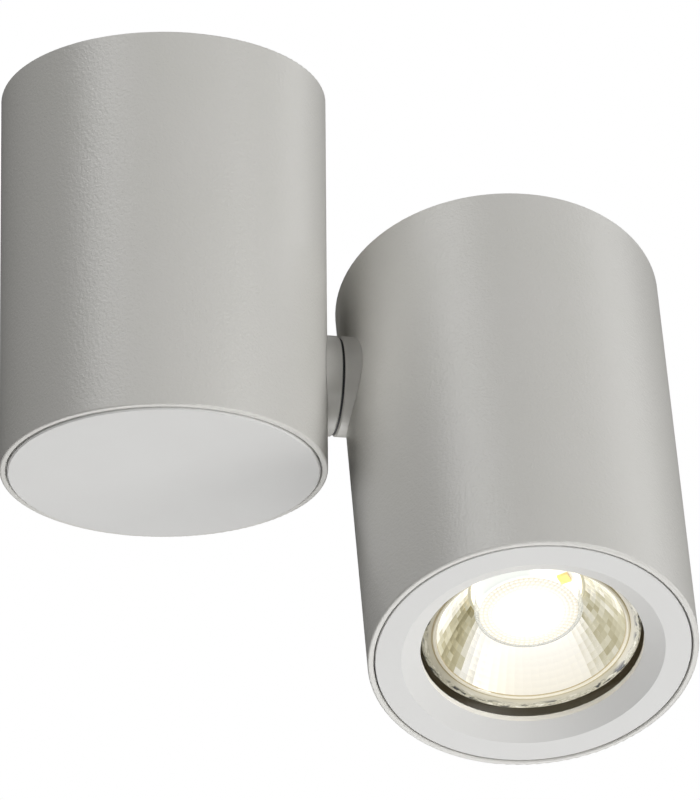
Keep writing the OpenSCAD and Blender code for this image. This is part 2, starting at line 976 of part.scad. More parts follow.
module bezel() {
    face_chamfer = 0.15;
    lip_back = flare_depth + lip_depth;
    color("white")
        in_bezel()
            rotate_extrude()
                difference() {
                    polygon([
                        [opening_r, flare_depth],
                        [flare_r, 0],
                        [face_r - face_chamfer, 0],
                        [face_r, face_chamfer],
                        [face_r, bezel_show],
                        [bezel_r, bezel_show],
                        [bezel_r, bezel_depth],
                        [bezel_r - bezel_wall, bezel_depth],
                        [bezel_r - bezel_wall, lip_back],
                        [opening_r, lip_back]
                    ]);
                    translate([seal_r - seal_d / 2 - fit, seal_z - seal_d / 2 - fit])
                        square([seal_d + over, seal_d + 2 * fit]);
                }
}

module bezel_seal() {
    color("black")
        in_bezel()
            translate([0, 0, seal_z])
                rotate_extrude()
                    translate([seal_r, 0])
                        circle(d = seal_d);
}

// The lamp, its rim at z = 0 and its pins at the far end
module in_lamp() {
    in_head_can(-head_front + lamp_recess)
        children();
}

glass_wall = 2.2;
glass_h = 31;
neck_r = 13.9;
shoulder_step = 1;
shoulder_r = lamp_r - shoulder_step;
// The glass's outer curve is an arc from the shoulder to the neck about a point on this height
arc_z = -2;
arc_x = (pow(neck_r, 2) + pow(glass_h - arc_z, 2) - pow(shoulder_r, 2) - pow(rim_h - arc_z, 2))
    / (2 * (neck_r - shoulder_r));
arc_r = norm([shoulder_r - arc_x, rim_h - arc_z]);
floor_t = 1.5;
lens_r = lens_d / 2;
lens_gap = 0.4;
lens_hole = lens_r + lens_gap;
floor_ledge = 0.6;
bowl_floor_r = lens_hole + floor_ledge;
facet_depth = bowl_depth - rim_dish;

// Half section of the glass body between two heights, drawn in by an inset
module glass_section(from, to, inset) {
    intersection() {
        translate([0, from])
            square([shoulder_r, to - from]);
        translate([arc_x, arc_z])
            circle(r = arc_r - inset);
    }
}

// The bowl is a paraboloid: its radius at a depth below the edge where the facets start
function bowl_r(depth) =
    sqrt(pow(bowl_floor_r, 2) + (pow(facet_d / 2, 2) - pow(bowl_floor_r, 2)) * (1 - depth / facet_depth));

// The faceted bowl as a plug to cut away: flat quads between rings of equal angles
module facet_plug() {
    depths = concat([-rim_dish - over], [for (j = [0:facet_rows]) j * facet_depth / facet_rows]);
    rings = len(depths);
    points = [
        for (j = [0:rings - 1], k = [0:facet_count - 1])
            let (r = bowl_r(max(0, depths[j])), a = 360 * k / facet_count)
            [r * cos(a), r * sin(a), rim_dish + depths[j]]
    ];
    walls = [
        for (j = [0:rings - 2], k = [0:facet_count - 1])
            let (n = (k + 1) % facet_count, a = j * facet_count, b = a + facet_count)
            [a + k, b + k, b + n, a + n]
    ];
    bottom = [for (k = [0:facet_count - 1]) k];
    top = [for (k = [facet_count - 1:-1:0]) (rings - 1) * facet_count + k];
    polyhedron(points, concat(walls, [bottom, top]));
}

module lamp_glass() {
    rim_edge = 0.6;
    bead_r = facet_d / 2 + bead_h + fit;
    color("lightcyan", 0.6)
        in_lamp()
            difference() {
                rotate_extrude() {
                    difference() {
                        union() {
                            polygon([
                                [0, rim_dish],
                                [bead_r, rim_dish],
                                [lamp_r - rim_edge, 0],
                                [lamp_r, 0],
                                [lamp_r, rim_h],
                                [0, rim_h]
                            ]);
                            glass_section(rim_h, glass_h, 0);
                        }
                        round_corner(lamp_r, 0, rim_edge, 1, -1);
                        round_corner(lamp_r, rim_h, rim_edge, 1, 1);
                    }
                    translate([bead_r, rim_dish])
                        circle(r = bead_h);
                }
                facet_plug();
                translate([0, 0, bowl_depth - over])
                    cylinder(r = lens_hole, h = floor_t + 2 * over);
                rotate_extrude()
                    glass_section(bowl_depth + floor_t, glass_h + over, glass_wall);
            }
}

board_t = 1.6;
board_z = bowl_depth + floor_t - board_t;
middle_chip_d = 9.2;
chip_t = 0.8;
light_cavity = 2.6;
chip_gap = 0.3;
cavity_r = norm([chip_ring_d / 2 + chip_side / 2, chip_side / 2]) + chip_gap;
lens_foot = 0.9;
// One outer chip shows through the lens's clear side from below the head
chip_angle = -34;

// A domed face inside a plain edge, on a slightly conical side that stands on the board
module lamp_lens() {
    lens_edge = 0.5;
    dome_r = lens_r - lens_rim;
    crown_r = (pow(dome_r, 2) + pow(lens_crown, 2)) / (2 * lens_crown);
    color("azure", 0.6)
        in_lamp()
            difference() {
                rotate_extrude() {
                    polygon([
                        [0, lens_recess],
                        [lens_r - lens_edge, lens_recess],
                        [lens_r, lens_recess + lens_edge],
                        [cavity_r + lens_foot, board_z],
                        [0, board_z]
                    ]);
                    intersection() {
                        translate([0, lens_recess - lens_crown - over])
                            square([dome_r, lens_crown + over + lens_edge]);
                        translate([0, lens_recess - lens_crown + crown_r])
                            circle(r = crown_r);
                    }
                }
                translate([0, 0, board_z - light_cavity])
                    cylinder(r = cavity_r, h = light_cavity + over);
            }
}

module led_chip() {
    color("gold")
        in_lamp()
            translate([0, 0, board_z - chip_t]) {
                cylinder(d = middle_chip_d, h = chip_t);
                for (i = [0:chip_count - 1])
                    rotate([0, 0, chip_angle + i * 360 / chip_count])
                        translate([chip_ring_d / 2 - chip_side / 2, -chip_side / 2, 0])
                            cube([chip_side, chip_side, chip_t]);
            }
}

module led_board() {
    color("white")
        in_lamp()
            translate([0, 0, board_z])
                cylinder(r = lens_hole - 2 * fit, h = board_t);
}

spigot_l = 4;
spigot_r = arc_x + sqrt(pow(arc_r - glass_wall, 2) - pow(glass_h - arc_z, 2)) - 2 * fit;
cup_floor_t = 2;
cup_floor_z = board_z + board_t + cup_floor_t;
cup_step = 1.3;
base_end_t = 3.4;
driver_w = 15;
driver_t = 1.2;
driver_gap = 3.5;
driver_z = cup_floor_z + driver_gap;

module heat_cup() {
    color("silver")
        in_lamp()
            difference() {
                rotate_extrude()
                    glass_section(board_z + board_t, glass_h - spigot_l - free, glass_wall + fit);
                translate([0, 0, cup_floor_z])
                    cylinder(r = spigot_r - cup_step, h = glass_h);
            }
}

module driver_board() {
    color("darkgreen")
        in_lamp()
            translate([-driver_w / 2, -driver_t / 2, driver_z])
                cube([driver_w, driver_t, lamp_body - base_end_t - driver_z]);
}

module lamp_base() {
    base_r = 14.4;
    base_end_r = 13.2;
    base_wall = 1.8;
    end_edge = 0.6;
    color("whitesmoke")
        in_lamp()
            difference() {
                rotate_extrude()
                    polygon([
                        [spigot_r - base_wall, glass_h - spigot_l],
                        [spigot_r, glass_h - spigot_l],
                        [spigot_r, glass_h],
                        [base_r, glass_h],
                        [base_end_r, lamp_body - end_edge],
                        [base_end_r - end_edge, lamp_body],
                        [0, lamp_body],
                        [0, lamp_body - base_end_t],
                        [spigot_r - base_wall, lamp_body - base_end_t]
                    ]);
                for (side = [-1, 1])
                    translate([side * pin_pitch / 2, 0, lamp_body - base_end_t - over])
                        cylinder(d = pin_neck_d + 2 * fit, h = base_end_t + 2 * over);
            }
}

module lamp_pins() {
    head_edge = 0.5;
    color("silver")
        in_lamp()
            for (side = [-1, 1])
                translate([side * pin_pitch / 2, 0, lamp_body - base_end_t])
                    rotate_extrude()
                        polygon([
                            [0, 0],
                            [pin_neck_d / 2, 0],
                            [pin_neck_d / 2, base_end_t + pin_neck_l],
                            [pin_head_d / 2, base_end_t + pin_neck_l],
                            [pin_head_d / 2, base_end_t + pin_l - head_edge],
                            [pin_head_d / 2 - head_edge, base_end_t + pin_l],
                            [0, base_end_t + pin_l]
                        ]);
}

base_tube();
base_cap();
ceiling_plate();
lock_screw();
cable_bush();
terminal_block();
terminal_clamps();
terminal_screws();
block_screws();
earth_screw();
earth_washer();
lead_wires();
base_cable();
base_knuckle();
friction_washer();
swivel_tube();
base_saddle();
base_nut();
stop_pin();
disc_spring();
head_nut();
head_tube();
head_cap();
head_knuckle();
head_saddle();
holder_bracket();
holder_screws();
lampholder();
holder_contacts();
head_cable();
bezel();
bezel_seal();
lamp_glass();
lamp_lens();
led_chip();
led_board();
heat_cup();
driver_board();
lamp_base();
lamp_pins();
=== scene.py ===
import json
import math
import random

import bmesh
import bpy
from mathutils import Matrix, Vector


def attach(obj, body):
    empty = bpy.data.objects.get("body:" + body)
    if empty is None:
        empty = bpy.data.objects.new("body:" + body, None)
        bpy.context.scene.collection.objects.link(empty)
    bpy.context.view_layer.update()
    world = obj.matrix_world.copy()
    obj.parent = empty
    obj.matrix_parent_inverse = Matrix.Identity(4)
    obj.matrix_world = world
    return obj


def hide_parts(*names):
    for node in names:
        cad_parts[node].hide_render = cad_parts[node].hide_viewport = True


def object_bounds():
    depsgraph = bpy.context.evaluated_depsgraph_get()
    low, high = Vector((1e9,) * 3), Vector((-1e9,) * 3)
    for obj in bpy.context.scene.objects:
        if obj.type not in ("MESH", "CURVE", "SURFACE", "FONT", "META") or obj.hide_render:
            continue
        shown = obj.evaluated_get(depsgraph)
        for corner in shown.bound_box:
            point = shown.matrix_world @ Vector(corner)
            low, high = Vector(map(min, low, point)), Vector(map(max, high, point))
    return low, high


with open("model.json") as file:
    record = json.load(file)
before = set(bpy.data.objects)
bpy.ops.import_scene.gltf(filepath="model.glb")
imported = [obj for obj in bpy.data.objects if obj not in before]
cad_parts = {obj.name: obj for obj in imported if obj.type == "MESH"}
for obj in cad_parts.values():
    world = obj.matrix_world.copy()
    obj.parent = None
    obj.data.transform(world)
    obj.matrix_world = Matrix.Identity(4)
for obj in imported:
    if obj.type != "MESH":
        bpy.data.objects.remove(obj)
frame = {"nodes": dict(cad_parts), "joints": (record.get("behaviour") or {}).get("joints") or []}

cad_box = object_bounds()

# The camera. It stands in front of the light, a little to the left and well below it, and looks up,
# as the photographer did. A long lens from far away keeps the cans' sides almost parallel.
camera_aim = Vector((0.040, 0, -0.060))
camera_azimuth = math.radians(-10.65)
camera_below = math.radians(24.256)
camera_roll = math.radians(-0.47)
camera_distance = 2.6507
camera_aside = 0.003973
camera_lower = 0.012312
camera_lens = 512.1

towards_camera = Vector((
    math.sin(camera_azimuth) * math.cos(camera_below),
    -math.cos(camera_azimuth) * math.cos(camera_below),
    -math.sin(camera_below),
))
level_right = Vector((math.cos(camera_azimuth), math.sin(camera_azimuth), 0))
level_up = towards_camera.cross(level_right)
camera_right = math.cos(camera_roll) * level_right + math.sin(camera_roll) * level_up
camera_up = math.cos(camera_roll) * level_up - math.sin(camera_roll) * level_right

camera_data = bpy.data.cameras.new("camera")
camera_data.sensor_width = 36
camera_data.lens = camera_lens
camera_data.clip_end = 100
camera = bpy.data.objects.new("camera", camera_data)
bpy.context.scene.collection.objects.link(camera)
camera_place = (
    camera_aim
    + camera_aside * camera_right
    - camera_lower * camera_up
    + camera_distance * towards_camera
)
camera_turn = Matrix((camera_right, camera_up, towards_camera)).transposed()
camera.matrix_world = Matrix.Translation(camera_place) @ camera_turn.to_4x4()
bpy.context.scene.camera = camera
bpy.context.scene.view_settings.view_transform = "Standard"


# The studio: a plain white surround, a plain pale floor far below the hanging light, and soft boxes.
# It isn't part of the object. The camera sees the surround as white, but it gives hardly any light.
def to_linear(colour):
    """An sRGB hex colour, such as "#c8c8c4", as the four linear values that the shaders take."""
    shares = [int(colour[i:i + 2], 16) / 255 for i in (1, 3, 5)]
    return [s / 12.92 if s <= 0.04045 else ((s + 0.055) / 1.055) ** 2.4 for s in shares] + [1]


def add_node(tree, kind, settings={}, values={}, links={}):
    """Adds a node with its own settings, the values of its sockets, and the sockets it takes from."""
    node = tree.nodes.new(kind)
    for name, value in settings.items():
        setattr(node, name, value)
    for socket, value in values.items():
        node.inputs[socket].default_value = value
    for socket, source in links.items():
        tree.links.new(source, node.inputs[socket])
    return node


surround = bpy.data.worlds.new("white_surround")
surround.use_nodes = True
tree = surround.node_tree
tree.nodes.clear()
path = add_node(tree, "ShaderNodeLightPath")
ambient = add_node(tree, "ShaderNodeBackground", {}, {"Color": to_linear("#f2f3f4"), "Strength": 0.02})
backdrop = add_node(tree, "ShaderNodeBackground", {}, {"Color": to_linear("#ffffff"), "Strength": 1})
seen = add_node(tree, "ShaderNodeMixShader", {}, {}, {
    0: path.outputs["Is Camera Ray"], 1: ambient.outputs[0], 2: backdrop.outputs[0],
})
add_node(tree, "ShaderNodeOutputWorld", {}, {}, {"Surface": seen.outputs[0]})
bpy.context.scene.world = surround

light_centre = (cad_box[0] + cad_box[1]) / 2
# Each soft box: degrees from the front round towards the head's side, degrees above level,
# distance, width and height in metres, power in watts
soft_boxes = {
    "high_left": (-54, 42, 1.4, 0.6, 1.0, 9.2),
    "high_right": (97, 40, 1.4, 0.6, 0.9, 3.0),
    "key_right": (44, -5, 1.4, 0.36, 1.0, 11.2),
    "far_right": (116, -5, 1.4, 0.36, 1.0, 1.8),
    "low_front": (0, -58, 1.3, 0.8, 0.8, 3.8),
    "low_right": (60, -58, 1.3, 0.8, 0.8, 3.6),
    "low_back": (180, -58, 1.3, 0.8, 0.8, 8.0),
    "back": (170, -24, 1.4, 1.0, 0.5, 1.2),
    "high_back": (180, 62, 1.4, 1.0, 1.0, 1.8),
}
for name, (azimuth, height_angle, distance, width, height, power) in soft_boxes.items():
    a = math.radians(azimuth)
    h = math.radians(height_angle)
    direction = Vector((math.sin(a) * math.cos(h), -math.cos(a) * math.cos(h), math.sin(h)))
    box_data = bpy.data.lights.new(name, "AREA")
    box_data.shape = "RECTANGLE"
    box_data.size = width
    box_data.size_y = height
    box_data.energy = power
    soft_box = bpy.data.objects.new(name, box_data)
    bpy.context.scene.collection.objects.link(soft_box)
    soft_box.matrix_world = (
        Matrix.Translation(light_centre + distance * direction)
        @ direction.to_track_quat("Z", "Y").to_matrix().to_4x4()
    )
    soft_box.visible_camera = False


def new_material(name):
    """An empty material and its node tree."""
    material = bpy.data.materials.new(name)
    material.use_nodes = True
    material.node_tree.nodes.clear()
    return material, material.node_tree


def mix_colours(tree, share, first, second):
    """The colour at a share of the way between two sRGB hex colours, the node's sockets 6 and 7."""
    mix = add_node(tree, "ShaderNodeMix", {"data_type": "RGBA"}, {
        6: to_linear(first), 7: to_linear(second),
    }, {0: share})
    return mix.outputs[2]


def surface(tree, values, links):
    """The shader of a material's surface: the values of its sockets, and those it takes from."""
    shader = add_node(tree, "ShaderNodeBsdfPrincipled", {}, values, links)
    add_node(tree, "ShaderNodeOutputMaterial", {}, {}, {"Surface": shader.outputs[0]})


floor_drop = 4.6
floor_half = 20
floor_mesh = bpy.data.meshes.new("studio_floor")
floor_mesh.from_pydata(
    [(x * floor_half, y * floor_half, -floor_drop) for x, y in ((-1, -1), (1, -1), (1, 1), (-1, 1))],
    [], [(0, 1, 2, 3)],
)
studio_floor = bpy.data.objects.new("studio_floor", floor_mesh)
bpy.context.scene.collection.objects.link(studio_floor)
# Emulsion paint: matt, almost white, in faint broad clouds
pale_floor, tree = new_material("pale_painted_floor")
floor_cloud = add_node(tree, "ShaderNodeTexNoise", {}, {"Scale": 0.8, "Detail": 3})
surface(tree, {"Roughness": 0.8}, {
    "Base Color": mix_colours(tree, floor_cloud.outputs[0], "#f4f4f2", "#fafaf8"),
})
floor_mesh.materials.append(pale_floor)


# The two cans and the two discs between them: aluminium tube, turned and powder coated in a warm white.
# The powder melts into a skin like orange peel, with fine short wrinkles that show where light grazes it.
MM = 0.001


def dress(material, *names):
    """Puts a material on CAD nodes in place of their plain one."""
    for name in names:
        for slot in frame["nodes"][name].material_slots:
            slot.material = material


def cloud_noise(tree, grain, detail):
    """Soft noise laid over a piece: the size of its clouds in metres, and its layers of finer ones."""
    place = add_node(tree, "ShaderNodeTexCoord")
    noise = add_node(tree, "ShaderNodeTexNoise", {}, {"Scale": 1 / grain, "Detail": detail}, {
        "Vector": place.outputs["Object"],
    })
    return noise.outputs[0]


def to_range(tree, value, ends, new_ends=(0, 1), soft=False):
    """Carries a value over from one range to another, evenly or with soft ends."""
    node = add_node(tree, "ShaderNodeMapRange", {"interpolation_type": "SMOOTHSTEP" if soft else "LINEAR"}, {
        "From Min": ends[0], "From Max": ends[1], "To Min": new_ends[0], "To Max": new_ends[1],
    }, {"Value": value})
    return node.outputs[0]


def work_out(tree, operation, *sources):
    """The result of one operation on the values of other nodes."""
    return add_node(tree, "ShaderNodeMath", {"operation": operation}, {}, dict(enumerate(sources))).outputs[0]


def peel_bump(tree, grain, depth, strength=None):
    """Bump from the wrinkles of a coat: their size and depth in metres, and what weakens them."""
    place = add_node(tree, "ShaderNodeTexCoord")
    wrinkles = add_node(tree, "ShaderNodeTexNoise", {}, {
        "Scale": 1 / grain, "Detail": 3, "Roughness": 0.55, "Distortion": 0.5,
    }, {"Vector": place.outputs["Object"]})
    links = {"Height": wrinkles.outputs[0]}
    if strength is not None:
        links["Strength"] = strength
    return add_node(tree, "ShaderNodeBump", {}, {"Strength": 1, "Distance": depth}, links).outputs[0]


# Powder coat, polyester, baked: the eye gets a soft broad sheen and a fine peel. It draws smooth round
# the tubes' ends: there a face looks along one of the tubes, by the cosine of its angle to that tube
smooth_from = 0.36
smooth_full = 0.7
least_peel = 0.08
powder_coat, tree = new_material("powder_coated_aluminium")
place = add_node(tree, "ShaderNodeTexCoord")
head_way = next(j for j in frame["joints"] if j["name"] == "front_ring_pull")["axis"]
along_tubes = []
for way in ((0, 0, 1), head_way):
    along = add_node(tree, "ShaderNodeVectorMath", {"operation": "DOT_PRODUCT"}, {1: way}, {
        0: place.outputs["Normal"],
    })
    along_tubes.append(work_out(tree, "ABSOLUTE", along.outputs["Value"]))
end_share = work_out(tree, "MAXIMUM", *along_tubes)
peel_strength = to_range(tree, end_share, (smooth_from, smooth_full), (1, least_peel), soft=True)
surface(tree, {"Roughness": 0.34, "IOR": 1.5}, {
    "Base Color": mix_colours(tree, cloud_noise(tree, 18 * MM, 3), "#d9d8d2", "#dcdad6"),
    "Normal": peel_bump(tree, 0.75 * MM, 0.12 * MM, peel_strength),
})
dress(powder_coat, "base_tube", "head_tube", "base_knuckle", "head_knuckle")


# The end discs and the front ring: turned aluminium, sprayed with a satin paint that is finer and a
# little whiter than the cans' coat. The discs are pressed into the cans and the ring is a push fit.
# Satin wet paint: smooth, with only a trace of peel
satin_paint, tree = new_material("satin_painted_aluminium")
surface(tree, {"Roughness": 0.5, "IOR": 1.5}, {
    "Base Color": mix_colours(tree, cloud_noise(tree, 12 * MM, 2), "#dedddb", "#e1e1df"),
    "Normal": peel_bump(tree, 0.7 * MM, 0.015 * MM),
})
dress(satin_paint, "base_cap", "head_cap", "bezel")


# The ceiling plate, the strap that carries the lampholder, the curved washers, the swivel's hollow
# tube and its two nuts: mild steel, pressed or turned, then zinc plated and held by the swivel's nuts.
# Bright zinc plate: a cool silver with soft spangled clouds and a faint straw tint
zinc_plate, tree = new_material("zinc_plated_steel")
place = add_node(tree, "ShaderNodeTexCoord")
spangle = add_node(tree, "ShaderNodeTexVoronoi", {"feature": "SMOOTH_F1"}, {"Scale": 1 / (2.2 * MM)}, {
    "Vector": place.outputs["Object"],
})
surface(tree, {"Metallic": 1}, {
    "Base Color": mix_colours(tree, cloud_noise(tree, 7 * MM, 4), "#b4b8ba", "#c9c8bf"),
    "Roughness": to_range(tree, spangle.outputs[0], (0, 1), (0.26, 0.42)),
    "Normal": peel_bump(tree, 0.5 * MM, 0.006 * MM),
})
dress(
    zinc_plate, "ceiling_plate", "holder_bracket", "base_saddle", "head_saddle", "swivel_tube",
    "base_nut", "head_nut",
)


# The small screws, the toothed earth washer and the lamp's two pins: cold-headed steel or brass,
# nickel plated, driven home with a slotted blade.
# Bright nickel: a warm mirror with fine turning marks round each head
nickel_plate, tree = new_material("nickel_plated_steel")
surface(tree, {"Metallic": 1, "Base Color": to_linear("#cfccc4")}, {
    "Roughness": to_range(tree, cloud_noise(tree, 0.25 * MM, 2), (0, 1), (0.16, 0.3)),
})
dress(
    nickel_plate, "terminal_screws", "block_screws", "earth_screw", "earth_washer", "holder_screws",
    "lamp_pins",
)


# The lock screw that holds the can on its plate, the swivel's stop pin and its dished spring washer:
# hardened steel, blackened in a hot oxide bath and oiled.
# Black oxide: nearly black with an oily gloss, browner where it is thin
black_oxide, tree = new_material("black_oxide_steel")
surface(tree, {"Metallic": 1, "Roughness": 0.38}, {
    "Base Color": mix_colours(tree, cloud_noise(tree, 1.5 * MM, 3), "#35353a", "#4b4644"),
})
dress(black_oxide, "lock_screw", "stop_pin", "disc_spring")


# The bush that lines the cable hole and the ring that grips the front ring in its can: EPDM rubber,
# compression moulded. The bush snaps into the plate and the ring sits in a turned groove.
# Black rubber: matt and slightly dusty
black_rubber, tree = new_material("moulded_black_rubber")
surface(tree, {"Roughness": 0.72, "IOR": 1.52}, {
    "Base Color": mix_colours(tree, cloud_noise(tree, 0.8 * MM, 4), "#1b1b1c", "#2c2b2a"),
    "Normal": peel_bump(tree, 0.3 * MM, 0.01 * MM),
})
dress(black_rubber, "cable_bush", "bezel_seal")


# The thin washer between the two discs. It is cut from glass-filled nylon sheet, turns with the base
# disc and shows as the dark line round the swivel.
# Dark filled nylon: charcoal, dull, with pale specks of fibre
filled_nylon, tree = new_material("glass_filled_nylon")
surface(tree, {"Roughness": 0.6, "IOR": 1.53}, {
    "Base Color": mix_colours(tree, cloud_noise(tree, 0.2 * MM, 2), "#26262a", "#3a3a3d"),
})
dress(filled_nylon, "friction_washer")


# The terminal block under the ceiling plate: polyamide 6, injection moulded round its three brass
# clamps and held by two screws.
# Natural nylon: milky, a little warm, with light passing into its edges
natural_nylon, tree = new_material("natural_polyamide")
surface(tree, {"Roughness": 0.45, "IOR": 1.53, "Subsurface Weight": 0.2, "Subsurface Scale": 0.8 * MM}, {
    "Base Color": mix_colours(tree, cloud_noise(tree, 4 * MM, 2), "#e4e0d2", "#ece9df"),
})
dress(natural_nylon, "terminal_block")


# The clamps in the terminal block and the contact strips in the lampholder: half-hard brass, turned
# or stamped, pushed into their pockets.
# Brass: yellow and fairly bright, duller in clouds where it has been handled
plain_brass, tree = new_material("turned_brass")
cloud = cloud_noise(tree, 1.2 * MM, 3)
surface(tree, {"Metallic": 1}, {
    "Base Color": mix_colours(tree, cloud, "#b8954a", "#d8bd74"),
    "Roughness": to_range(tree, cloud, (0, 1), (0.22, 0.38)),
})
dress(plain_brass, "terminal_clamps", "holder_contacts")


# The three leads in the base can, and the round cable that carries them through the hollow swivel to
# the lampholder: tinned copper in silicone rubber, extruded, pushed in by hand.
def colour_ramp(tree, share, stops):
    """Colours along a scale from 0 to 1, each stop a position and an sRGB hex colour."""
    node = add_node(tree, "ShaderNodeValToRGB", {}, {}, {0: share})
    marks = node.color_ramp.elements
    for mark, (position, colour) in zip(marks, (stops[0], stops[-1])):
        mark.position = position
        mark.color = to_linear(colour)
    for position, colour in stops[1:-1]:
        marks.new(position).color = to_linear(colour)
    return node


# Silicone: soft sheen and faint drag marks; brown, blue or green, one colour to each lead
lead_silicone, tree = new_material("silicone_lead_insulation")
each_lead = add_node(tree, "ShaderNodeNewGeometry")
lead_colour = colour_ramp(tree, each_lead.outputs["Random Per Island"], (
    (0, "#5a3a22"), (0.4, "#2f5f9c"), (0.7, "#7f9a34"),
))
lead_colour.color_ramp.interpolation = "CONSTANT"
surface(tree, {"Roughness": 0.5, "IOR": 1.43}, {
    "Base Color": lead_colour.outputs[0], "Normal": peel_bump(tree, 0.4 * MM, 0.008 * MM),
})
dress(lead_silicone, "lead_wires")

# The cable's jacket: white silicone, a little grey where it is handled
white_silicone, tree = new_material("white_silicone_jacket")
surface(tree, {"Roughness": 0.48, "IOR": 1.43}, {
    "Base Color": mix_colours(tree, cloud_noise(tree, 5 * MM, 3), "#d9d8d4", "#e8e7e4"),
    "Normal": peel_bump(tree, 0.5 * MM, 0.01 * MM),
})
dress(white_silicone, "base_cable", "head_cable")


# The lampholder: steatite, dry pressed and fired, screwed under the strap. The lamp's two pins turn in
# its curved slots.
# Unglazed steatite: matt, cream white, with tiny dark specks
steatite, tree = new_material("fired_steatite")
specks = to_range(tree, cloud_noise(tree, 0.35 * MM, 2), (0.62, 0.72))
surface(tree, {"Roughness": 0.68, "IOR": 1.6}, {
    "Base Color": mix_colours(tree, specks, "#e3ddcd", "#b9b09c"),
    "Normal": peel_bump(tree, 0.3 * MM, 0.012 * MM),
})
dress(steatite, "lampholder")


# The lamp's glass body: one pressing of clear glass, with a dished rim, a round bead, and a bowl of
# small flat facets that a thin vacuum-deposited film makes into a mirror. It is cemented to the base.
# It is drawn in the lamp's own frame: from the rim inwards along z, and with x to the right.
lamp_joint = next(j for j in frame["joints"] if j["name"] == "lamp_turn")
lamp_in = -Vector(lamp_joint["axis"]).normalized()
lamp_x = Vector((1, 0, 0))
lamp_y = lamp_in.cross(lamp_x)
lamp_axes = Matrix((lamp_x, lamp_y, lamp_in)).transposed()
on_axis = Vector(lamp_joint["pos_m"])
glass_depths = [(v.co - on_axis).dot(lamp_in) for v in frame["nodes"]["lamp_glass"].data.vertices]
glass_front = min(glass_depths)
lamp_frame = Matrix.Translation(on_axis + glass_front * lamp_in) @ lamp_axes.to_4x4()

rim_radius = 25.25 * MM
rim_height = 2.6 * MM
rim_edge = 0.6 * MM
rim_dish = 1.0 * MM
bead = 0.5 * MM
bowl_edge = 21.7 * MM
bowl_floor = 13.5 * MM
bowl_depth = 14.0 * MM
lens_hole = 12.9 * MM
floor_thickness = 1.5 * MM
glass_length = max(glass_depths) - glass_front
neck_radius = 13.9 * MM
facets_round = 64
facet_rows = 9
facet_parts = 3
facet_bulge = 0.07 * MM


def turn_profile(profile, steps, bent_radius=None):
    """Rings of points round the lamp's axis, one for each (radius, depth) of the profile."""
    rings = []
    for i, (radius, depth) in enumerate(profile):
        ring = []
        for k in range(steps):
            angle = 2 * math.pi * k / steps
            r = bent_radius(i, k) if bent_radius else radius
            ring.append((r * math.cos(angle), r * math.sin(angle), depth))
        rings.append(ring)
    return rings


def arc(centre, radius, start, end, steps):
    """Points of an arc in a profile, from one angle to another, in degrees."""
    angles = [math.radians(start + (end - start) * i / steps) for i in range(steps + 1)]
    return [(centre[0] + radius * math.cos(a), centre[1] + radius * math.sin(a)) for a in angles]


def bowl_radius(share):
    """The bowl is a paraboloid: its radius at a share of its depth."""
    return math.sqrt(bowl_floor ** 2 + (bowl_edge ** 2 - bowl_floor ** 2) * (1 - share))


# The glass's profile: in over the rim's rounded edge, across its dish and round the bead, down the
# bowl, over its floor, and back along the outside, a quarter of an ellipse from the neck to the rim
glass_steps = facets_round * facet_parts
bowl_rings = facet_rows * facet_parts
bead_radius = bowl_edge + bead + 0.05 * MM
rim_profile = (
    [(rim_radius - rim_edge, rim_height)]
    + arc((rim_radius - rim_edge, rim_height - rim_edge), rim_edge, 75, 0, 4)
    + arc((rim_radius - rim_edge, rim_edge), rim_edge, 0, -90, 6)
    + [(bead_radius + bead * 1.3, rim_dish - 0.16 * MM)]
    + arc((bead_radius, rim_dish), bead, -15, -165, 10)
)
bowl_profile = [
    (bowl_radius(i / bowl_rings), rim_dish + (bowl_depth - rim_dish) * i / bowl_rings)
    for i in range(bowl_rings + 1)
]
floor_profile = [
    (bowl_floor - 0.3 * MM, bowl_depth + 0.2 * MM),
    (lens_hole, bowl_depth + 0.2 * MM),
    (lens_hole, bowl_depth + floor_thickness),
]
shoulder_radius = rim_radius - 1 * MM
back_profile = [
    (
        neck_radius + (shoulder_radius - neck_radius) * math.sqrt(1 - share ** 2 * 0.97),
        rim_height + (glass_length - rim_height) * share,
    )
    for share in (1, 0.93, 0.82, 0.68, 0.52, 0.36, 0.2, 0.08, 0)
]
profile = rim_profile + bowl_profile + floor_profile + back_profile
first_bowl = len(rim_profile)
last_bowl = first_bowl + bowl_rings


def facet_radius(i, k):
    """The bowl's radius flattened to facets, each with a faint swelling in its middle."""
    u = (k % facet_parts) / facet_parts
    v = (i % facet_parts) / facet_parts
    half = math.pi / facets_round
    row = min(i // facet_parts, facet_rows - 1)
    top, bottom = row / facet_rows, (row + 1) / facet_rows
    t = (i / bowl_rings - top) / (bottom - top)
    corner = bowl_radius(top) * (1 - t) + bowl_radius(bottom) * t
    flat = corner * math.cos(half) / math.cos((2 * u - 1) * half)
    swelling = facet_bulge * math.sin(math.pi * u) * math.sin(math.pi * v)
    return flat - swelling


def mesh_from_rings(name, rings, closed=False):
    """A smooth mesh of quads between rings that have equally many points."""
    steps = len(rings[0])
    count = len(rings)
    faces = []
    for i in range(count if closed else count - 1):
        for k in range(steps):
            n = (k + 1) % steps
            a, b = i * steps, ((i + 1) % count) * steps
            faces.append((a + k, a + n, b + n, b + k))
    mesh = bpy.data.meshes.new(name)
    mesh.from_pydata([p for ring in rings for p in ring], [], faces)
    mesh.update()
    mesh.polygons.foreach_set("use_smooth", [True] * len(mesh.polygons))
    return mesh


def put_in_lamp(mesh):
    """Places a mesh that was drawn in the lamp's own frame and lets it ride with the lamp."""
    mesh.transform(lamp_frame)
    piece = bpy.data.objects.new(mesh.name, mesh)
    bpy.context.scene.collection.objects.link(piece)
    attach(piece, "lamp")
    return piece


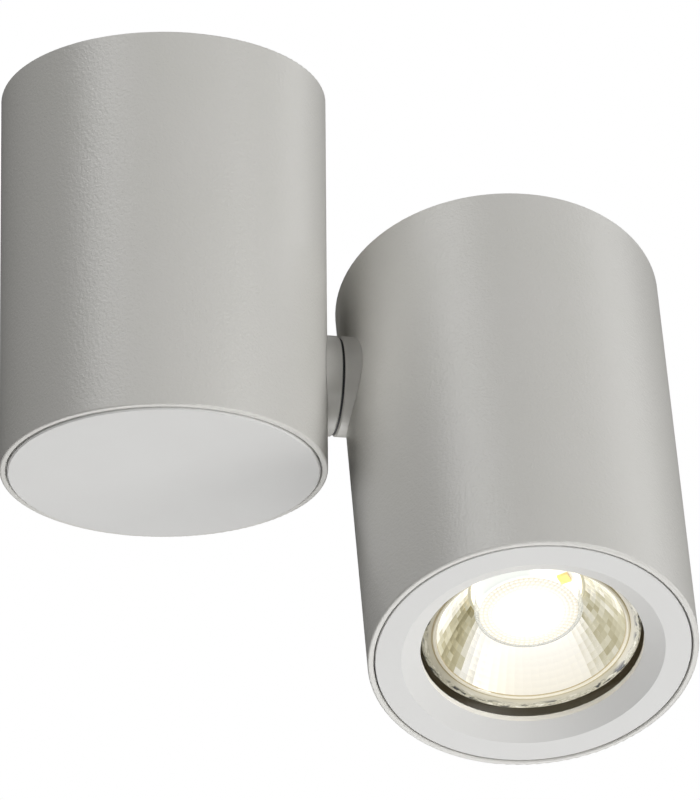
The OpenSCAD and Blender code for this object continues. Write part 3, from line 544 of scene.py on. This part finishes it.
glass_mesh = mesh_from_rings("pressed_glass_reflector", (
    turn_profile(rim_profile, glass_steps)
    + turn_profile(bowl_profile, glass_steps, facet_radius)
    + turn_profile(floor_profile + back_profile, glass_steps)
), closed=True)

# Painted reflection and shade: how bright the facets are round the bowl, as (degrees, painted light). In the
# photograph 0 degrees is right, 90 bottom, 180 left and 270 top. Each column and each facet strays a little
# from that
painted_light_round = (
    (0, 0.54), (22, 0.53), (50, 0.8), (85, 0.95), (120, 0.9), (138, 0.53), (149, 0.27), (158, 0.46),
    (172, 0.78), (215, 0.86), (245, 0.95), (270, 0.95), (300, 0.8), (335, 0.62), (360, 0.54),
)
column_stray = 0.14
facet_stray = 0.25
floor_painted_light = 0.55
draw = random.Random(7)
painted_column_light = []
for column in range(facets_round):
    angle = 360 * (column + 0.5) / facets_round
    a, b = next((a, b) for a, b in zip(painted_light_round, painted_light_round[1:]) if angle <= b[0])
    even_painted_light = a[1] + (b[1] - a[1]) * (angle - a[0]) / (b[0] - a[0])
    painted_column_light.append(even_painted_light + column_stray * (draw.random() - 0.5))
painted_facet_light = {
    (row, column): painted_column_light[column] + facet_stray * (draw.random() - 0.5)
    for row in range(facet_rows) for column in range(facets_round)
}
painted_face_lights = []
for n, polygon in enumerate(glass_mesh.polygons):
    i, k = divmod(n, glass_steps)
    facet = ((i - first_bowl) // facet_parts, k // facet_parts)
    painted_face_lights.append(painted_facet_light[facet] if first_bowl <= i < last_bowl else floor_painted_light)
    if i < first_bowl:
        polygon.material_index = 0
    elif i < last_bowl + len(floor_profile):
        polygon.material_index = 1
    else:
        polygon.material_index = 2

# Where each point lies round the rim, in steps of the painted refraction streaks, and its radius
streak_turns = 7
streak_width = 0.8 * MM
around = []
outwards = []
for radius, depth in profile:
    for k in range(glass_steps):
        angle = 2 * math.pi * k / glass_steps
        around += [math.cos(angle) * streak_turns, math.sin(angle) * streak_turns, radius / streak_width]
        outwards.append(radius / MM)
glass_mesh.attributes.new("painted_facet_light", "FLOAT", "FACE").data.foreach_set("value", painted_face_lights)
glass_mesh.attributes.new("around_rim", "FLOAT_VECTOR", "POINT").data.foreach_set("vector", around)
glass_mesh.attributes.new("radius_mm", "FLOAT", "POINT").data.foreach_set("value", outwards)
sharp = glass_mesh.attributes.new("sharp_edge", "BOOLEAN", "EDGE")
for edge in glass_mesh.edges:
    i, k = divmod(min(edge.vertices), glass_steps)
    j, m = divmod(max(edge.vertices), glass_steps)
    row_line = i == j and first_bowl <= i <= last_bowl and (i - first_bowl) % facet_parts == 0
    column_line = k == m and k % facet_parts == 0 and first_bowl <= i and j <= last_bowl
    sharp.data[edge.index].value = row_line or column_line


def mesh_value(tree, name):
    """A value that the mesh carries at its points or faces."""
    return add_node(tree, "ShaderNodeAttribute", {"attribute_name": name}).outputs["Fac"]


# Clear pressed glass with light inside it: a cream glow, with painted golden lines of bent light at the
# bead's foot and, towards the edge, broken streaks of white and slate that are painted refraction of the
# light and the dark behind it
streaks_begin_mm = 23.4
streaks_full_mm = 24.3
clear_glass, tree = new_material("lit_clear_glass")
place = add_node(tree, "ShaderNodeAttribute", {"attribute_name": "around_rim"})
painted_refraction_streaks = add_node(tree, "ShaderNodeTexNoise", {}, {"Scale": 1, "Detail": 3, "Roughness": 0.6}, {
    "Vector": place.outputs["Vector"],
})
# Painted refraction: white and slate streaks for the light and the dark seen through the glass
painted_refraction_colour = colour_ramp(tree, painted_refraction_streaks.outputs[0], (
    (0.36, "#ece9dc"), (0.44, "#b5b19c"), (0.5, "#d8d4c3"), (0.56, "#8d8b7c"), (0.62, "#41434a"),
))
radius_mm = mesh_value(tree, "radius_mm")
from_bowl = to_range(tree, radius_mm, (bowl_edge / MM, bowl_edge / MM + 2))
# Painted refraction: golden lines at the bead's foot, on a cream glow
inner_glow_and_painted_lines = colour_ramp(tree, from_bowl, (
    (0, "#a8935a"), (0.1, "#efeadb"), (0.45, "#dcd4ba"), (0.54, "#927c3f"), (0.66, "#cfc9b4"), (1, "#d2cdbd"),
))
glass_colour = add_node(tree, "ShaderNodeMix", {"data_type": "RGBA"}, {}, {
    0: to_range(tree, radius_mm, (streaks_begin_mm, streaks_full_mm), soft=True),
    6: inner_glow_and_painted_lines.outputs[0], 7: painted_refraction_colour.outputs[0],
})
body_colour = add_node(tree, "ShaderNodeMix", {"data_type": "RGBA", "blend_type": "MULTIPLY"}, {
    0: 1, 7: to_linear("#b4b2ac"),
}, {6: glass_colour.outputs[2]})
# Painted light: the rim glows most at its lower right, on one fixed side of the lamp
low_right = add_node(tree, "ShaderNodeVectorMath", {"operation": "DOT_PRODUCT"}, {1: (0.6, 0.8, 0)}, {
    0: place.outputs["Vector"],
})
painted_glow_span = (-0.1 * streak_turns, 0.95 * streak_turns)
surface(tree, {"Roughness": 0.05, "IOR": 1.5}, {
    "Base Color": body_colour.outputs[2],
    "Emission Color": glass_colour.outputs[2],
    "Emission Strength": to_range(tree, low_right.outputs["Value"], painted_glow_span, (0.27, 0.72), soft=True),
})
glass_mesh.materials.append(clear_glass)

# Mirror film on the facets and the bowl's floor: seen face on, it has a painted cream glow for the light that
# comes through the glass; seen along the wall it is a warm mirror, each facet olive or white by its painted
# light, a painted reflection
mirror_film, tree = new_material("mirror_film_on_glass")
facet_painted_light = mesh_value(tree, "painted_facet_light")
# Painted reflection: olive, cream or white by each facet's painted light
painted_side_reflection = colour_ramp(tree, facet_painted_light, (
    (0.12, "#736b46"), (0.35, "#aca483"), (0.55, "#cdc8ae"), (0.7, "#ebe8dc"), (0.85, "#fffefa"),
))
facing = add_node(tree, "ShaderNodeLayerWeight", {}, {"Blend": 0.5})
side_share = to_range(tree, facing.outputs["Facing"], (0.08, 0.32), soft=True)
# Face on, every facet has the same painted light
film_painted_light = add_node(tree, "ShaderNodeMix", {}, {2: 0.8}, {0: side_share, 3: facet_painted_light})
bowl_share = to_range(tree, mesh_value(tree, "radius_mm"), (bowl_floor / MM, bowl_edge / MM))
near_lens = colour_ramp(tree, bowl_share, ((0.1, "#ffffff"), (0.45, "#fcf9f2"), (1, "#f2ede0")))
glow_colour = add_node(tree, "ShaderNodeMix", {"data_type": "RGBA"}, {}, {
    0: side_share, 6: near_lens.outputs[0], 7: painted_side_reflection.outputs[0],
})
# The film's base colour is darker or paler by the same painted light
surface(tree, {"Metallic": 1}, {
    "Base Color": mix_colours(tree, film_painted_light.outputs[0], "#5c5846", "#8b887c"),
    "Roughness": to_range(tree, side_share, (0, 1), (0.5, 0.18)),
    "Emission Color": glow_colour.outputs[2],
    "Emission Strength": to_range(tree, side_share, (0, 1), (0.92, 0.76)),
})
glass_mesh.materials.append(mirror_film)

# The back of the glass, where the film is bare: a dull bronze mirror that hardly lets light out
film_back, tree = new_material("mirror_film_from_behind")
surface(tree, {
    "Metallic": 0.8, "Roughness": 0.25, "Emission Color": to_linear("#c8a860"), "Emission Strength": 0.07,
}, {"Base Color": mix_colours(tree, cloud_noise(tree, 3 * MM, 2), "#8d8672", "#a19a84")})
glass_mesh.materials.append(film_back)

glass_body = put_in_lamp(glass_mesh)
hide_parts("lamp_glass")


# The lens over the light: clear acrylic, injection moulded, with rings of tiny domes on its crowned
# front that spread the beam. Its plain edge and clear side show the board and one chip behind.
lens_radius = 12.5 * MM
lens_front = 7.3 * MM
lens_foot = 12.0 * MM
lens_edge = 0.5 * MM
board_front = 13.9 * MM
dome_radius = 11.4 * MM
dome_crown = 0.7 * MM
dome_height = 0.16 * MM
ring_pitch = 0.95 * MM
dome_pitch = ring_pitch * 1.2
dome_parts = 4
least_domes = 3
side_steps = 144


def crown_depth(radius):
    """The front is part of a shallow sphere that rises towards the middle."""
    return lens_front - dome_crown * (1 - (radius / dome_radius) ** 2)


lens = bmesh.new()
crest = lens.verts.layers.float.new("dome_crest")
reach = lens.verts.layers.float.new("from_middle")
ring_count = round(dome_radius / ring_pitch)
for ring in range(ring_count):
    inner, outer = dome_radius * ring / ring_count, dome_radius * (ring + 1) / ring_count
    domes = max(least_domes, round(math.pi * (inner + outer) / dome_pitch))
    steps = domes * dome_parts
    shift = draw.random()
    grid = []
    for i in range(dome_parts + 1):
        line = []
        for k in range(steps):
            u, v = (k % dome_parts) / dome_parts, i / dome_parts
            radius = inner + (outer - inner) * v
            angle = 2 * math.pi * (k / dome_parts + shift) / domes
            lift = math.sin(math.pi * u) * math.sin(math.pi * v)
            depth = crown_depth(radius) - dome_height * lift
            vertex = lens.verts.new((radius * math.cos(angle), radius * math.sin(angle), depth))
            vertex[crest] = lift
            vertex[reach] = radius / dome_radius
            line.append(vertex)
        grid.append(line)
    for i in range(dome_parts):
        for k in range(steps):
            n = (k + 1) % steps
            corners = [grid[i][k], grid[i][n], grid[i + 1][n], grid[i + 1][k]]
            # In the middle the inner two corners meet in one point
            if len({tuple(c.co) for c in corners}) < 4:
                corners = [grid[i][k], grid[i + 1][n], grid[i + 1][k]]
            lens.faces.new(corners).smooth = True
front_mesh = bpy.data.meshes.new("lens_front_domes")
lens.to_mesh(front_mesh)
lens.free()

# Lit acrylic: blown out to white, with painted shade, a cream edge round each dome in the grooves between
# them, that shows towards the rim. The eye sees the lens as plain white, but it lights the glass and the
# ring's lip far more than that
unseen_light = 5
lit_acrylic, tree = new_material("lit_moulded_acrylic")
from_middle = mesh_value(tree, "from_middle")
rim_share = to_range(tree, from_middle, (0.55, 1), soft=True)
groove_share = to_range(tree, mesh_value(tree, "dome_crest"), (0, 0.55), (1, 0))
# Painted shade: the grooves between the domes, towards the rim
painted_dome_shade = work_out(tree, "MULTIPLY", rim_share, groove_share)
ray = add_node(tree, "ShaderNodeLightPath")
light_power = add_node(tree, "ShaderNodeMath", {"operation": "MULTIPLY_ADD"}, {1: unseen_light}, {
    0: ray.outputs["Is Diffuse Ray"], 2: to_range(tree, from_middle, (0.35, 0.85), (1.3, 0.8), soft=True),
})
surface(tree, {"Roughness": 0.12, "IOR": 1.49, "Base Color": to_linear("#8c8a84")}, {
    "Emission Color": mix_colours(tree, painted_dome_shade, "#fffaf0", "#e2d8bd"),
    "Emission Strength": light_power.outputs[0],
})
front_mesh.materials.append(lit_acrylic)
lens_domes = put_in_lamp(front_mesh)
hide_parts("lamp_lens")

side_profile = (
    [(dome_radius, lens_front + 0.02 * MM)]
    + arc((lens_radius - lens_edge, lens_front + lens_edge), lens_edge, -90, 0, 5)
    + [(lens_foot + 0.3 * MM, (lens_front + board_front) / 2), (lens_foot, board_front)]
)
side_mesh = mesh_from_rings("lens_clear_side", turn_profile(side_profile, side_steps))
# Clear acrylic seen on edge: a pale blue-grey that lets the board show through, with a faint painted glow,
# and one milky patch of painted highlight that glows brighter. It fades by the cosine of the angle round from
# there
painted_glow_angle = math.radians(232)
milky_from = 0.66
milky_full = 0.9
near_painted_glow = [math.cos(math.atan2(v.co.y, v.co.x) - painted_glow_angle) for v in side_mesh.vertices]
side_mesh.attributes.new("near_painted_glow", "FLOAT", "POINT").data.foreach_set("value", near_painted_glow)
clear_acrylic, tree = new_material("clear_moulded_acrylic")
edge_on = add_node(tree, "ShaderNodeLayerWeight", {}, {"Blend": 0.45})
see_through = to_range(tree, edge_on.outputs["Facing"], (0, 1), (0.3, 0.8))
milky = to_range(tree, mesh_value(tree, "near_painted_glow"), (milky_from, milky_full), soft=True)
surface(tree, {
    "Roughness": 0.06, "IOR": 1.49, "Base Color": to_linear("#5d6264"),
    "Emission Color": to_linear("#d8dad4"),
}, {
    "Alpha": work_out(tree, "MAXIMUM", see_through, milky),
    "Emission Strength": to_range(tree, milky, (0, 1), (0.34, 1.2)),
})
side_mesh.materials.append(clear_acrylic)
lens_side = put_in_lamp(side_mesh)
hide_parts("lamp_lens")


# The light-emitting chips on their board: blue dice under a cast layer of yellow phosphor in silicone,
# reflow soldered to a white-masked aluminium board.
# Lit phosphor: a warm yellow that glows by itself
phosphor, tree = new_material("lit_yellow_phosphor")
phosphor_colour = mix_colours(tree, cloud_noise(tree, 0.3 * MM, 3), "#d9a92c", "#f0cf62")
surface(tree, {"Roughness": 0.4, "IOR": 1.45, "Emission Strength": 0.5}, {
    "Base Color": phosphor_colour, "Emission Color": phosphor_colour,
})
dress(phosphor, "led_chip")

# White solder mask: bright satin enamel over fine fibre, lit by the chips
white_mask, tree = new_material("white_solder_mask")
surface(tree, {
    "Roughness": 0.35, "IOR": 1.5, "Emission Color": to_linear("#fff6dd"), "Emission Strength": 0.5,
}, {"Base Color": mix_colours(tree, cloud_noise(tree, 0.5 * MM, 2), "#e9e8e2", "#f3f2ee")})
dress(white_mask, "led_board")


# The cup that takes the chips' heat, the driver's board behind it and the plastic end with the pins:
# cast aluminium, epoxy glass and heat-proof PBT, stacked and cemented inside the glass.
# Cast aluminium: dull silver with a sandy skin
cast_aluminium, tree = new_material("cast_aluminium")
surface(tree, {"Metallic": 1, "Roughness": 0.5}, {
    "Base Color": mix_colours(tree, cloud_noise(tree, 1.5 * MM, 4), "#a5a7aa", "#c2c3c4"),
    "Normal": peel_bump(tree, 0.35 * MM, 0.02 * MM),
})
dress(cast_aluminium, "heat_cup")

# Green solder mask over glass cloth: glossy, with the weave just showing
green_mask, tree = new_material("green_solder_mask")
place = add_node(tree, "ShaderNodeTexCoord")
weave = add_node(tree, "ShaderNodeTexBrick", {}, {
    "Scale": 1 / (0.8 * MM),
    "Color1": to_linear("#1f5a37"), "Color2": to_linear("#246540"), "Mortar": to_linear("#1a4d2f"),
}, {"Vector": place.outputs["Object"]})
surface(tree, {"Roughness": 0.25, "IOR": 1.5}, {"Base Color": weave.outputs[0]})
dress(green_mask, "driver_board")

# Moulded PBT: white, finely sparked from the tool
white_pbt, tree = new_material("moulded_white_pbt")
surface(tree, {"Roughness": 0.5, "IOR": 1.55}, {
    "Base Color": mix_colours(tree, cloud_noise(tree, 3 * MM, 2), "#e6e5e0", "#eeede9"),
    "Normal": peel_bump(tree, 0.3 * MM, 0.01 * MM),
})
dress(white_pbt, "lamp_base")
